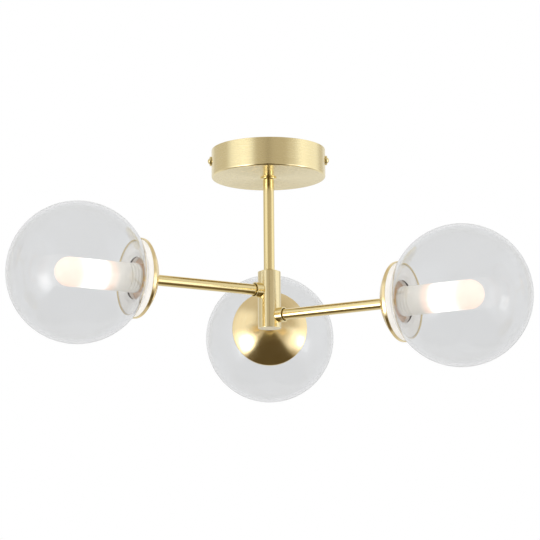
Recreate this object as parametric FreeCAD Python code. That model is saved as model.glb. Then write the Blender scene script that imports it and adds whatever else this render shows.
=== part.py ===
import FreeCAD, Part
import os
from math import atan2, cos, pi, radians, sin, sqrt

V = FreeCAD.Vector

# Semi flush ceiling light: a ceiling cup, a drop stem, a hub and three arms at stepped heights.
# Each arm ends in a spun dish with a lamp carrier, a frosted sleeve over the lamp and a clear globe.
# Millimetres. The origin is where the stem's axis meets the ceiling plane, +Z is up, and the
# back arm points along +Y.

# ceiling cup
cup_radius = 50.0
cup_height = 25.0
cup_wall = 1.2
cup_corner_radius = 1.5

# stem and trim rings
tube_radius = 4.75
tube_wall = 1.0
thread_radius = 4.0
thread_bore_radius = 3.2
stem_visible_length = 84.0
stem_thread_above_cup = 7.8
trim_ring_radius = 7.0
trim_ring_thickness = 1.2
trim_ring_cone = 0.6
trim_ring_edge = 0.35

# hub
hub_radius = 10.0
hub_height = 50.0
hub_bore_radius = 7.6
hub_top_wall = 4.0
hub_edge_chamfer = 0.3
plug_flange_radius = 9.2
plug_flange_thickness = 1.5
plug_spigot_length = 4.0

# arms: the drop is from the hub's top to the arm's axis
arm_names = ("left", "back", "right")
arm_azimuths = (210.0, 90.0, 330.0)
first_arm_drop = 17.0
arm_height_step = 11.0
arm_length = 115.0
collar_radius = 6.6
collar_bore_radius = 5.55
collar_reach = 15.0

# dish
dish_radius = 34.45
dish_wall = 1.0
dish_depth = 15.6
dish_lip = 2.8
dish_seat_radius = 7.2

# globe and its seat
globe_radius = 60.0
globe_wall = 2.0
globe_mouth_radius = 18.4
globe_centre_reach = 185.0
seat_recess = 1.0
seat_thickness = 1.2
seat_edge_gap = 0.25
seat_skirt_wall = 2.0
seat_skirt_rise = 0.8

# lamp carrier
carrier_web = 1.6
carrier_neck_radius = 11.5
carrier_flange_radius = 18.9
carrier_flange_thickness = 3.6
carrier_flange_rise = 4.4
carrier_shoulder_radius = 12.6
carrier_shoulder_rise = 13.0
carrier_thread_radius = 11.0
carrier_thread_length = 9.4
holder_radius = 9.0
holder_proud = 2.8
holder_edge = 0.5
pin_spacing = 9.0
pin_radius = 0.7
pin_length = 9.0

# frosted sleeve and its gasket
gasket_thickness = 1.0
sleeve_radius = 12.5
sleeve_tip_reach = 205.0
sleeve_end_wall = 1.5
sleeve_bead_height = 0.5
sleeve_bead_half_width = 1.0
sleeve_ridge_height = 0.4
sleeve_ridge_half_width = 0.8
sleeve_ridge_pitch = 3.0
sleeve_ridges = 3

# capsule lamp
lamp_radius = 7.0
lamp_length = 45.0
lamp_base_length = 8.0
lamp_base_width = 12.5
lamp_base_depth = 7.0

# nuts
nut_flats = 13.0
stem_nut_height = 4.0
washer_radius = 8.0
washer_thickness = 1.0

# ceiling bracket
bracket_thickness = 1.5
bracket_width = 20.0
bracket_half_length = 47.4
bracket_bend_radius = 1.5
ear_height = 19.0
ear_width = 14.0
slot_spacing = 58.0
slot_length = 16.0
slot_width = 4.6
cable_hole_radius = 5.0
earth_place = 12.0
tab_reach = 31.0
tab_width = 24.0

# side screws
side_screw_drop = 9.5
side_screw_shank_radius = 2.0
side_screw_shank_length = 8.0
side_screw_flange_radius = 4.2
side_screw_flange_thickness = 1.6
side_screw_dome_radius = 2.75
side_screw_dome_height = 1.7
side_screw_hole_gap = 0.3

# terminal block and small screws
block_start = 12.0
block_depth = 17.0
block_width = 23.0
block_height = 11.5
block_poles = 3
block_pole_pitch = 7.4
block_screw_well_radius = 1.8
block_screw_well_depth = 3.0
small_screw_radius = 1.5
small_screw_head_radius = 2.8
small_screw_head_height = 1.6
earth_screw_radius = 2.0
earth_screw_head_radius = 3.8
earth_screw_head_height = 2.4
earth_washer_radius = 4.6
earth_washer_thickness = 0.8

# leads
lead_radius = 1.4
lead_bend_radius = 5.0
lead_gap = 0.1
low_lead_exit = 11.0
high_lead_exit = 8.0

# clearances
thread_gap = 0.02
screw_gap = 0.08
push_gap = 0.05
fit_gap = 0.1
slack = 0.25

# heights worked out from the sizes above
hub_top = -(cup_height + stem_visible_length)
hub_bottom = hub_top - hub_height
cup_floor = -cup_height + cup_wall
stem_thread_top = cup_floor + stem_thread_above_cup

# places along an arm, measured from the stem's axis
dish_rim = arm_length + dish_depth
dish_arc_end = dish_rim - dish_lip
dish_inside = arm_length + dish_wall
carrier_web_top = dish_inside + carrier_web
flange_top = dish_inside + carrier_flange_rise + carrier_flange_thickness
shoulder_top = dish_inside + carrier_shoulder_rise
carrier_end = shoulder_top + carrier_thread_length
holder_back = carrier_web_top + stem_nut_height
holder_front = carrier_end + holder_proud
sleeve_start = shoulder_top + gasket_thickness
sleeve_bore_radius = carrier_thread_radius + screw_gap
seat_front = dish_rim - seat_recess


def outline(steps, to_point):
    # closed face: a step of two numbers is a straight run to that point, and a step of four is
    # an arc through the first two numbers to the last two
    here = to_point(*steps[0])
    edges = []
    for step in list(steps[1:]) + [steps[0][-2:]]:
        there = to_point(*step[-2:])
        if len(step) == 4:
            edges.append(Part.Arc(here, to_point(*step[:2]), there).toShape())
        elif (there - here).Length > 1e-6:
            edges.append(Part.makeLine(here, there))
        here = there
    return Part.Face(Part.Wire(edges))


def turned_upright(steps):
    # steps hold radius and height, turned about the stem's axis
    face = outline(steps, lambda radius, height: V(radius, 0, height))
    return face.revolve(V(0, 0, 0), V(0, 0, 1), 360)


def turned_on_arm(steps):
    # steps hold distance along the arm and radius, turned about the X axis
    face = outline(steps, lambda along, radius: V(along, 0, radius))
    return face.revolve(V(0, 0, 0), V(1, 0, 0), 360)


def arm_axis_height(index):
    return hub_top - first_arm_drop - index * arm_height_step


def on_arm(shape, index):
    # carries a shape from the X axis to its arm
    placed = shape.copy()
    placed.rotate(V(0, 0, 0), V(0, 0, 1), arm_azimuths[index])
    placed.translate(V(0, 0, arm_axis_height(index)))
    return placed


def ball_along(centre, radius, off_axis):
    # distance along the arm at which a ball's near side has the radius off_axis
    return centre - sqrt(radius ** 2 - off_axis ** 2)


def cylinder_between(radius, start, end):
    return Part.makeCylinder(radius, (end - start).Length, start, end - start)


def hexagon_prism(flats, height):
    corner = flats / sqrt(3)
    points = [V(corner * cos(k * pi / 3), corner * sin(k * pi / 3), 0) for k in range(7)]
    return Part.Face(Part.makePolygon(points)).extrude(V(0, 0, height))


def chamfered_nut(height):
    # hexagon cut back by a turned cone at both faces
    corner = nut_flats / sqrt(3)
    flat = nut_flats / 2 - fit_gap
    trim = (corner - flat) * 0.5
    bore = thread_radius + thread_gap
    blank = turned_upright([(bore, 0), (flat, 0), (corner, trim), (corner, height - trim),
                            (flat, height), (bore, height)])
    return hexagon_prism(nut_flats, height).common(blank)


def washer(outer, inner, thickness):
    return Part.makeCylinder(outer, thickness).cut(Part.makeCylinder(inner, thickness))


def threaded_tube(length, start_spigot, end_spigot):
    # tube along Z with a brazed-in thread at each end, which stands out by its spigot's length
    seat = thread_radius
    inner = tube_radius - tube_wall
    return turned_upright([
        (thread_bore_radius, -start_spigot), (seat, -start_spigot), (seat, 0), (tube_radius, 0),
        (tube_radius, length), (seat, length), (seat, length + end_spigot),
        (thread_bore_radius, length + end_spigot), (thread_bore_radius, length - seat),
        (inner, length - seat), (inner, seat), (thread_bore_radius, seat)])


def make_cup():
    inside = cup_radius - cup_wall
    bend = cup_corner_radius * (1 - sqrt(0.5))
    inner_corner = cup_corner_radius - cup_wall
    inner_bend = inner_corner * (1 - sqrt(0.5))
    hole = thread_radius + fit_gap
    cup = turned_upright([
        (hole, -cup_height), (cup_radius - cup_corner_radius, -cup_height),
        (cup_radius - bend, -cup_height + bend, cup_radius, -cup_height + cup_corner_radius),
        (cup_radius, 0), (inside, 0), (inside, cup_floor + inner_corner),
        (inside - inner_bend, cup_floor + inner_bend, inside - inner_corner, cup_floor),
        (hole, cup_floor)])
    for side in (-1, 1):
        start = V(side * (inside - cup_wall), 0, -side_screw_drop)
        end = V(side * (cup_radius + cup_wall), 0, -side_screw_drop)
        hole_radius = side_screw_shank_radius + side_screw_hole_gap
        cup = cup.cut(cylinder_between(hole_radius, start, end))
    return cup


def arch(half, foot, top, bend):
    # upright face with rounded shoulders, half as wide as the first number on each side
    diagonal = bend * (1 - sqrt(0.5))
    return outline([
        (-half, foot), (-half, top - bend), (-half + diagonal, top - diagonal, -half + bend, top),
        (half - bend, top), (half - diagonal, top - diagonal, half, top - bend), (half, foot)],
        lambda x, z: V(x, -bracket_width / 2, z))


def make_bracket():
    # flat strap with a bent-down ear at each end and a tab for the terminal block
    t = bracket_thickness
    half = bracket_half_length
    across = V(0, bracket_width, 0)
    inner_arch = arch(half - t, -2 * ear_height, -t, bracket_bend_radius).extrude(across)
    bracket = arch(half, -ear_height, 0, bracket_bend_radius + t).extrude(across).cut(inner_arch)
    bend_start = half - t - bracket_bend_radius
    for side in (-1, 1):
        for edge in (-1, 1):
            # the ears are narrower than the strap, to stay inside the round cup
            trim = Part.makeBox(half, bracket_width, 2 * ear_height)
            trim.translate(V(bend_start, ear_width / 2, -ear_height))
            trim = trim.mirror(V(0, 0, 0), V(1, 0, 0)) if side < 0 else trim
            trim = trim.mirror(V(0, 0, 0), V(0, 1, 0)) if edge < 0 else trim
            bracket = bracket.cut(trim)
    tab = Part.makeBox(tab_width, tab_reach, t, V(-tab_width / 2, 0, -t))
    bracket = bracket.fuse(tab).removeSplitter()
    for side in (-1, 1):
        run = (slot_length - slot_width) / 2
        middle = side * slot_spacing / 2
        slot = Part.makeBox(2 * run, slot_width, t, V(middle - run, -slot_width / 2, -t))
        for end in (-run, run):
            slot = slot.fuse(Part.makeCylinder(slot_width / 2, t, V(middle + end, 0, -t)))
        bracket = bracket.cut(slot)
        inner = V(side * (half - 2 * t), 0, -side_screw_drop)
        outside = V(side * (half + t), 0, -side_screw_drop)
        bracket = bracket.cut(cylinder_between(side_screw_shank_radius + thread_gap, inner, outside))
    holes = ((cable_hole_radius, V(0, 0, -t)),
             (earth_screw_radius + thread_gap, V(-earth_place, 0, -t)),
             (small_screw_radius + thread_gap, V(0, block_middle(), -t)))
    for radius, place in holes:
        bracket = bracket.cut(Part.makeCylinder(radius, t, place))
    return bracket


def block_middle():
    return block_start + block_depth / 2


def make_earth_screw():
    # pan head under the washer, shank through the strap's tapped hole, flush with its top
    head_top = -bracket_thickness - earth_washer_thickness
    r = earth_screw_head_radius
    h = earth_screw_head_height
    screw = turned_upright([
        (0, 0), (earth_screw_radius, 0), (earth_screw_radius, head_top), (r, head_top),
        (r * 0.96, head_top - h * 0.72, r * 0.45, head_top - h), (0, head_top - h)])
    slot = Part.makeBox(2 * r, h / 4, h / 2, V(-r, -h / 8, head_top - h))
    screw = screw.cut(slot)
    screw.translate(V(-earth_place, 0, 0))
    return screw


def make_earth_washer():
    ring = washer(earth_washer_radius, earth_screw_radius + fit_gap, earth_washer_thickness)
    ring.translate(V(-earth_place, 0, -bracket_thickness - earth_washer_thickness))
    return ring


def make_terminal_block():
    top = -bracket_thickness
    low = top - block_height
    body = Part.makeBox(block_width, block_depth, block_height, V(-block_width / 2, block_start, low))
    body = body.makeChamfer(block_screw_well_radius / 3, [e for e in body.Edges if is_low_edge(e, low)])
    for pole in range(block_poles):
        x = (pole - (block_poles - 1) / 2) * block_pole_pitch
        for row in (0.25, 0.75):
            y = block_start + row * block_depth
            # the fixing screw's head takes the place of the middle pole's wells
            if pole * 2 != block_poles - 1:
                well = Part.makeCylinder(block_screw_well_radius, block_screw_well_depth, V(x, y, low))
                body = body.cut(well)
        mouth = V(x, block_start + block_depth, top - block_height / 2)
        body = body.cut(cylinder_between(block_screw_well_radius, mouth, mouth - V(0, block_depth / 3, 0)))
    hole = Part.makeCylinder(small_screw_radius + fit_gap, block_height, V(0, block_middle(), low))
    return body.cut(hole)


def is_low_edge(edge, low):
    return all(abs(vertex.Z - low) < 1e-6 for vertex in edge.Vertexes)


def make_block_screw():
    low = -bracket_thickness - block_height
    head = small_screw_head_height
    screw = turned_upright([(0, 0), (small_screw_radius, 0), (small_screw_radius, low),
                            (small_screw_head_radius, low), (small_screw_head_radius, low - head / 2),
                            (small_screw_radius, low - head), (0, low - head)])
    screw.translate(V(0, block_middle(), 0))
    return screw


def make_side_screw(side):
    # flange and small dome outside the cup, shank through the cup and the bracket's ear
    face = cup_radius + push_gap
    rim = face + side_screw_flange_thickness
    tip = rim + side_screw_dome_height
    dome = side_screw_dome_radius
    shank = side_screw_shank_radius
    ball = (dome ** 2 + side_screw_dome_height ** 2) / (2 * side_screw_dome_height)
    turn = atan2(dome, ball - side_screw_dome_height) / 2
    edge = side_screw_flange_thickness / 4
    start = face - side_screw_shank_length
    screw = turned_on_arm([
        (start, 0), (start, shank - edge), (start + edge, shank), (face, shank),
        (face, side_screw_flange_radius), (rim - edge, side_screw_flange_radius),
        (rim, side_screw_flange_radius - edge), (rim, dome),
        (tip - ball + ball * cos(turn), ball * sin(turn), tip, 0)])
    screw.rotate(V(0, 0, 0), V(0, 0, 1), 0 if side > 0 else 180)
    screw.translate(V(0, 0, -side_screw_drop))
    return screw


def make_stem():
    stem = threaded_tube(stem_visible_length, hub_top_wall, cup_height + stem_thread_top)
    stem.translate(V(0, 0, hub_top))
    return stem


def make_trim_ring(seat, outward):
    # disc with softened edges against its seat, and a low cone towards the tube
    bore = tube_radius + push_gap
    r = trim_ring_radius
    t = trim_ring_thickness
    e = trim_ring_edge
    bend = e * (1 - sqrt(0.5))
    ring = turned_upright([
        (bore, 0), (r - e, 0), (r - bend, bend, r, e), (r, t - e), (r - bend, t - bend, r - e, t),
        (bore + trim_ring_cone, t), (bore, t + trim_ring_cone)])
    if outward < 0:
        ring = ring.mirror(V(0, 0, 0), V(0, 0, 1))
    ring.translate(V(0, 0, seat))
    return ring


def make_stem_nut():
    nut = chamfered_nut(stem_nut_height)
    nut.translate(V(0, 0, cup_floor + washer_thickness))
    return nut


def make_stem_washer():
    ring = washer(washer_radius, thread_radius + fit_gap, washer_thickness)
    ring.translate(V(0, 0, cup_floor))
    return ring


def make_hub():
    c = hub_edge_chamfer
    r = hub_radius
    step = plug_flange_radius + push_gap
    hub = turned_upright([
        (thread_radius + thread_gap, hub_top), (r - c, hub_top), (r, hub_top - c),
        (r, hub_bottom + c), (r - c, hub_bottom), (step, hub_bottom),
        (step, hub_bottom + plug_flange_thickness), (hub_bore_radius, hub_bottom + plug_flange_thickness),
        (hub_bore_radius, hub_top - hub_top_wall), (thread_radius + thread_gap, hub_top - hub_top_wall)])
    for index in range(len(arm_names)):
        start = V(0, 0, 0)
        hub = hub.cut(on_arm(cylinder_between(thread_radius + thread_gap, start, V(2 * r, 0, 0)), index))
    return hub


def make_plug():
    spigot = hub_bore_radius - push_gap
    top = hub_bottom + plug_flange_thickness
    return turned_upright([
        (0, hub_bottom), (plug_flange_radius, hub_bottom), (plug_flange_radius, top), (spigot, top),
        (spigot, top + plug_spigot_length), (spigot - tube_wall, top + plug_spigot_length),
        (spigot - tube_wall, top), (0, top)])


def make_collar():
    # short sleeve with a softened mouth, cut to the hub's round side
    edge = (collar_radius - collar_bore_radius) / 4
    collar = turned_on_arm([
        (0, collar_bore_radius), (0, collar_radius), (collar_reach - edge, collar_radius),
        (collar_reach, collar_radius - edge), (collar_reach, collar_bore_radius + edge),
        (collar_reach - edge, collar_bore_radius)])
    hub_space = Part.makeCylinder(hub_radius + thread_gap, 4 * collar_radius, V(0, 0, -2 * collar_radius))
    return collar.cut(hub_space)


def make_arm():
    # the tube starts just clear of the hub's side, and its thread goes through the hub's wall
    root = hub_radius + slack
    arm = threaded_tube(arm_length - root, root - hub_bore_radius, holder_back - arm_length)
    arm.rotate(V(0, 0, 0), V(0, 1, 0), 90)
    arm.translate(V(root, 0, 0))
    return arm


def dish_ball():
    # centre and radius of the ball whose near side runs from the dish's seat to its lip
    centre = ((dish_arc_end ** 2 - arm_length ** 2) + (dish_radius ** 2 - dish_seat_radius ** 2))
    centre = centre / (2 * (dish_arc_end - arm_length))
    return centre, sqrt((centre - arm_length) ** 2 + dish_seat_radius ** 2)


def make_dish():
    centre, ball = dish_ball()
    inner_ball = ball - dish_wall
    inner_radius = dish_radius - dish_wall
    middle = (dish_radius + dish_seat_radius) / 2
    hole = thread_radius + fit_gap
    inner_seat = sqrt(inner_ball ** 2 - (centre - dish_inside) ** 2)
    return turned_on_arm([
        (arm_length, hole), (arm_length, dish_seat_radius),
        (ball_along(centre, ball, middle), middle, dish_arc_end, dish_radius), (dish_rim, dish_radius),
        (dish_rim, inner_radius), (ball_along(centre, inner_ball, inner_radius), inner_radius),
        (ball_along(centre, inner_ball, middle), middle, dish_inside, inner_seat), (dish_inside, hole)])


def make_carrier():
    bore = holder_radius + push_gap
    nut_space = nut_flats / sqrt(3) + fit_gap
    flange_back = dish_inside + carrier_flange_rise
    return turned_on_arm([
        (dish_inside, thread_radius + fit_gap), (dish_inside, dish_seat_radius - fit_gap),
        (carrier_web_top, carrier_neck_radius), (flange_back, carrier_neck_radius),
        (flange_back, carrier_flange_radius), (flange_top, carrier_flange_radius),
        (flange_top, carrier_shoulder_radius), (shoulder_top, carrier_shoulder_radius),
        (shoulder_top, carrier_thread_radius), (carrier_end, carrier_thread_radius),
        (carrier_end, bore), (holder_back, bore), (holder_back, nut_space),
        (carrier_web_top, nut_space), (carrier_web_top, thread_radius + fit_gap)])


def make_arm_nut():
    nut = chamfered_nut(stem_nut_height - fit_gap)
    nut.rotate(V(0, 0, 0), V(0, 1, 0), 90)
    nut.translate(V(carrier_web_top, 0, 0))
    return nut


def pin_pair(radius, start, end):
    pins = []
    for side in (-1, 1):
        y = side * pin_spacing / 2
        pins.append(cylinder_between(radius, V(start, y, 0), V(end, y, 0)))
    return pins


def make_holder():
    edge = holder_edge
    holder = turned_on_arm([
        (holder_back, 0), (holder_back, holder_radius), (holder_front - edge, holder_radius),
        (holder_front, holder_radius - edge), (holder_front, 0)])
    for hole in pin_pair(pin_radius + fit_gap, holder_front - pin_length - slack, holder_front):
        holder = holder.cut(hole)
    return holder


def make_lamp():
    # pins, a flat base and a round-ended envelope, standing just clear of the holder's face
    start = holder_front + slack
    neck = start + lamp_base_length
    end_centre = start + lamp_length - lamp_radius
    bulge = lamp_radius * (1 - sqrt(0.5))
    envelope = turned_on_arm([
        (neck, 0), (neck, lamp_radius - bulge),
        (neck + bulge, lamp_radius - bulge / 4, neck + lamp_radius / 2, lamp_radius),
        (end_centre, lamp_radius),
        (end_centre + lamp_radius - bulge, lamp_radius * sqrt(0.5), end_centre + lamp_radius, 0)])
    base = Part.makeBox(lamp_base_length + bulge, lamp_base_width, lamp_base_depth)
    base.translate(V(start, -lamp_base_width / 2, -lamp_base_depth / 2))
    base = base.makeFillet(lamp_base_depth / 4, [e for e in base.Edges if along_arm(e)])
    lamp = envelope.fuse(base)
    for pin in pin_pair(pin_radius, start + slack - pin_length, start + pin_length / 3):
        lamp = lamp.fuse(pin)
    return lamp.removeSplitter()


def along_arm(edge):
    box = edge.BoundBox
    return box.YLength < 1e-6 and box.ZLength < 1e-6


def make_gasket():
    start = shoulder_top
    outer = carrier_shoulder_radius
    inner = carrier_thread_radius + fit_gap
    return turned_on_arm([(start, inner), (start, outer), (start + gasket_thickness, outer),
                          (start + gasket_thickness, inner)])


def make_sleeve():
    # tube with a bead and low thread ridges at its base, and a half ball at its tip
    end_centre = sleeve_tip_reach - sleeve_radius
    bead = sleeve_start + sleeve_bead_half_width
    steps = [(sleeve_start, sleeve_bore_radius), (sleeve_start, sleeve_radius),
             (bead, sleeve_radius + sleeve_bead_height, bead + sleeve_bead_half_width, sleeve_radius)]
    width = sleeve_ridge_half_width
    for ridge in range(1, sleeve_ridges + 1):
        middle = bead + ridge * sleeve_ridge_pitch
        steps.append((middle - width, sleeve_radius))
        steps.append((middle, sleeve_radius + sleeve_ridge_height, middle + width, sleeve_radius))
    inner_end = sleeve_radius - sleeve_end_wall
    bore_end = end_centre - sleeve_radius
    steps += [(end_centre, sleeve_radius),
              (end_centre + sleeve_radius * sqrt(0.5), sleeve_radius * sqrt(0.5), sleeve_tip_reach, 0),
              (sleeve_tip_reach - sleeve_end_wall, 0),
              (end_centre + inner_end * sqrt(0.5), inner_end * sqrt(0.5), end_centre, inner_end),
              (bore_end, sleeve_bore_radius)]
    return turned_on_arm(steps)


def make_globe():
    inner = globe_radius - globe_wall
    centre = globe_centre_reach
    mouth = globe_mouth_radius
    far = centre + globe_radius
    return turned_on_arm([
        (ball_along(centre, inner, mouth), mouth), (ball_along(centre, globe_radius, mouth), mouth),
        (centre, globe_radius, far, 0), (far - globe_wall, 0),
        (centre, inner, ball_along(centre, inner, mouth), mouth)])


def make_seat():
    # flat white rim round the globe, dished under it, with a skirt that screws on the carrier
    ball = globe_radius + push_gap
    inner = carrier_flange_radius + fit_gap
    outer = dish_radius - dish_wall - seat_edge_gap
    skirt = inner + seat_skirt_wall
    back = seat_front - seat_thickness
    meets = sqrt(ball ** 2 - (globe_centre_reach - seat_front) ** 2)
    middle = (meets + inner) / 2
    skirt_foot = dish_inside + carrier_flange_rise + seat_skirt_rise
    under = ball_along(globe_centre_reach, ball, skirt) - seat_thickness
    return turned_on_arm([
        (skirt_foot, inner), (skirt_foot, skirt), (under, skirt), (back, meets), (back, outer),
        (seat_front, outer), (seat_front, meets),
        (ball_along(globe_centre_reach, ball, middle), middle,
         ball_along(globe_centre_reach, ball, inner), inner)])


def make_lead(index):
    # from the terminal block down the stem and the hub, and out along its arm to the lampholder
    azimuth = radians(arm_azimuths[index])
    off = thread_bore_radius - lead_radius - lead_gap
    outward = V(cos(azimuth), sin(azimuth), 0)
    start = outward * off
    bend = lead_bend_radius
    diagonal = bend * (1 - sqrt(0.5))
    exit_height = -(low_lead_exit if start.y > 0 else high_lead_exit)
    axis = arm_axis_height(index)
    towards = V(0, 1, 0)
    points = [
        V(start.x, block_start, exit_height),
        start + towards * bend + V(0, 0, exit_height),
        start + towards * diagonal + V(0, 0, exit_height - diagonal),
        start + V(0, 0, exit_height - bend),
        start + V(0, 0, axis + bend),
        start + outward * diagonal + V(0, 0, axis + diagonal),
        start + outward * bend + V(0, 0, axis),
        outward * holder_back + V(0, 0, axis)]
    edges = [Part.makeLine(points[0], points[1]),
             Part.Arc(points[1], points[2], points[3]).toShape(),
             Part.makeLine(points[3], points[4]),
             Part.Arc(points[4], points[5], points[6]).toShape(),
             Part.makeLine(points[6], points[7])]
    path = Part.Wire(edges)
    section = Part.Wire([Part.makeCircle(lead_radius, points[0], points[1] - points[0])])
    lead = path.makePipeShell([section], True, False)
    share = lead.Volume / (pi * lead_radius ** 2 * path.Length)
    print("lead", arm_names[index], "length", round(path.Length, 1), "bend radius", bend,
          "volume over section times length", round(share, 4))
    return lead


def build_nodes():
    nodes = {
        "ceiling_bracket": make_bracket(),
        "earth_screw": make_earth_screw(),
        "earth_washer": make_earth_washer(),
        "terminal_block": make_terminal_block(),
        "block_screw": make_block_screw(),
        "canopy_cup": make_cup(),
        "side_screw_left": make_side_screw(-1),
        "side_screw_right": make_side_screw(1),
        "stem_tube": make_stem(),
        "stem_washer": make_stem_washer(),
        "stem_nut": make_stem_nut(),
        "stem_ring": make_trim_ring(-cup_height, -1),
        "hub_ring": make_trim_ring(hub_top, 1),
        "hub_body": make_hub(),
        "hub_plug": make_plug(),
    }
    makers = {
        "arm_collar": make_collar,
        "arm_tube": make_arm,
        "cap_dish": make_dish,
        "lamp_carrier": make_carrier,
        "arm_end_nut": make_arm_nut,
        "lampholder": make_holder,
        "sleeve_gasket": make_gasket,
        "frosted_sleeve": make_sleeve,
        "lamp": make_lamp,
        "globe_glass": make_globe,
        "globe_seat": make_seat,
    }
    for name, maker in makers.items():
        shape = maker()
        for index, arm in enumerate(arm_names):
            nodes[name + "_" + arm] = on_arm(shape, index)
    for index, arm in enumerate(arm_names):
        nodes["lead_" + arm] = make_lead(index)
    return nodes


os.makedirs("parts", exist_ok=True)
for name, shape in build_nodes().items():
    if not shape.isValid() or shape.Volume <= 0:
        print("check", name, "valid", shape.isValid(), "volume", round(shape.Volume, 3))
    shape.exportStep("parts/" + name + ".step")
print("nodes", len(os.listdir("parts")))
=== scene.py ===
import bpy
import numpy as np
from math import cos, pi, radians, sin, sqrt
from mathutils import Matrix, Vector


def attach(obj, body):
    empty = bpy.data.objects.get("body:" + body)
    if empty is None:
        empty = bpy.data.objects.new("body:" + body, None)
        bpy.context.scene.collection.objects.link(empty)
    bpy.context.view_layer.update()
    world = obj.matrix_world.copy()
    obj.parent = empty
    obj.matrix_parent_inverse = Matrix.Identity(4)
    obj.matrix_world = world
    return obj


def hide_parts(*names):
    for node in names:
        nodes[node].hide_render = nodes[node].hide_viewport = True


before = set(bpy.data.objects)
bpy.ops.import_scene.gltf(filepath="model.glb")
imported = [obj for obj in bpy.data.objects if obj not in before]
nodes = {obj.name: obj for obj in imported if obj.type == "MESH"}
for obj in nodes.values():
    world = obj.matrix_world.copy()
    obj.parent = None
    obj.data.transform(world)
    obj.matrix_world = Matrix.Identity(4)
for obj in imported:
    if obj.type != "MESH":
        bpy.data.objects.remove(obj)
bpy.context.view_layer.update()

print("frame loaded,", len(nodes), "nodes")

# Lengths in the dictionaries are millimetres, and meshes are made in metres.
mm = 0.001

# camera fitted to the outlines in the photograph: place in metres, pitch and roll in degrees
view = dict(lens=169.25, place=(0.0007, -2.1742, -0.5321), pitch=11.056, roll=-0.451, farthest=60)


def placeCamera():
    pitch, roll = radians(view["pitch"]), radians(view["roll"])
    forward = Vector((0, cos(pitch), sin(pitch)))
    level, upright = Vector((1, 0, 0)), Vector((0, -sin(pitch), cos(pitch)))
    right = level * cos(roll) + upright * sin(roll)
    up = upright * cos(roll) - level * sin(roll)
    camera = bpy.data.objects.new("camera", bpy.data.cameras.new("camera"))
    camera.data.lens = view["lens"]
    camera.data.clip_end = view["farthest"]
    turn = Matrix((right, up, -forward)).transposed().to_4x4()
    camera.matrix_world = Matrix.Translation(view["place"]) @ turn
    bpy.context.scene.collection.objects.link(camera)
    bpy.context.scene.camera = camera


placeCamera()
print("camera placed")


def wire(tree, source, target):
    tree.links.new(source, target)


def addNode(tree, kind, **values):
    node = tree.nodes.new(kind)
    for key, value in values.items():
        setattr(node, key, value)
    return node


def calc(tree, operation, *inputs, clamp=False):
    # one math node; numbers are set on its sockets and sockets are linked
    node = addNode(tree, "ShaderNodeMath", operation=operation, use_clamp=clamp)
    for slot, value in zip(node.inputs, inputs):
        if isinstance(value, (int, float)):
            slot.default_value = value
        else:
            wire(tree, value, slot)
    return node.outputs[0]


def remap(tree, value, low, high, toLow, toHigh, smooth=False):
    shape = "SMOOTHSTEP" if smooth else "LINEAR"
    node = addNode(tree, "ShaderNodeMapRange", interpolation_type=shape)
    wire(tree, value, node.inputs["Value"])
    for name, number in (("From Min", low), ("From Max", high), ("To Min", toLow),
                         ("To Max", toHigh)):
        if isinstance(number, (int, float)):
            node.inputs[name].default_value = number
        else:
            wire(tree, number, node.inputs[name])
    return node.outputs["Result"]


def blendColours(tree, amount, first, second):
    node = addNode(tree, "ShaderNodeMix", data_type="RGBA")
    for slot, value in ((node.inputs[0], amount), (node.inputs[6], first),
                        (node.inputs[7], second)):
        if isinstance(value, (int, float)):
            slot.default_value = value
        elif isinstance(value, tuple):
            slot.default_value = (*value, 1)
        else:
            wire(tree, value, slot)
    return node.outputs[2]


def newGroup(name, inputs, outputs):
    group = bpy.data.node_groups.new(name, "ShaderNodeTree")
    for title, start in inputs:
        socket = group.interface.new_socket(title, in_out="INPUT", socket_type="NodeSocketFloat")
        socket.default_value = start
    for title in outputs:
        group.interface.new_socket(title, in_out="OUTPUT", socket_type="NodeSocketFloat")
    return group, group.nodes.new("NodeGroupInput"), group.nodes.new("NodeGroupOutput")


def useGroup(tree, group, **values):
    node = addNode(tree, "ShaderNodeGroup", node_tree=group)
    for title, value in values.items():
        node.inputs[title].default_value = value
    return node


# Mirror-like surfaces see the room of a photo studio: pale all round, soft light boxes to the left
# and right, a dimmer side behind the camera, and a dark floor that narrows to a dark gap between
# the boxes. Plain surfaces are lit evenly. Angles are degrees: azimuth 0 points at the camera's
# side and grows to its right, elevation 90 points up. Later patches cover earlier ones.
studio = dict(
    plain=1.04, around=0.62,
    patches=(
        dict(Centre=11, Width=42, Middle=24, Height=44, Soft=9, level=0.53),
        dict(Centre=-59, Width=27, Middle=14, Height=26, Soft=9, level=0.97),
        dict(Centre=92, Width=29, Middle=14, Height=26, Soft=10, level=1.00),
        dict(Centre=180, Width=70, Middle=-18, Height=16, Soft=8, level=0.78),
        dict(Centre=180, Width=34, Middle=26, Height=26, Soft=8, level=0.84),
        dict(Centre=0, Width=132, Middle=-66, Height=27, Soft=8, level=0.18),
        dict(Centre=-54, Width=23, Middle=-17, Height=19, Soft=6, level=1.65),
        dict(Centre=64, Width=24, Middle=-12, Height=18, Soft=6, level=1.35),
        dict(Centre=-53, Width=10, Middle=-20, Height=11, Soft=8, level=6.50),
        dict(Centre=71, Width=8, Middle=-14, Height=9, Soft=3, level=3.60),
    ),
    tone=dict(span=(0.08, 0.75), green=0.74, blue=0.34),
    gap=dict(top=0.19, slope=0.78, soft=0.05, level=0.09, front=(-0.2, 0.0)),
    keyLight=dict(place=(-1.5, -1.5, 0.7), size=1.2, power=10.0),
    fillLight=dict(place=(1.8, -0.9, 0.3), size=1.2, power=6.0),
    aim=(0, 0, -0.13),
    floor=dict(height=-2.4, size=9.0, cells=12, colour=(0.90, 0.90, 0.89), lift=0.30, grain=3.0,
               roughness=(0.65, 0.75), specular=0.1),
)


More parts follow.
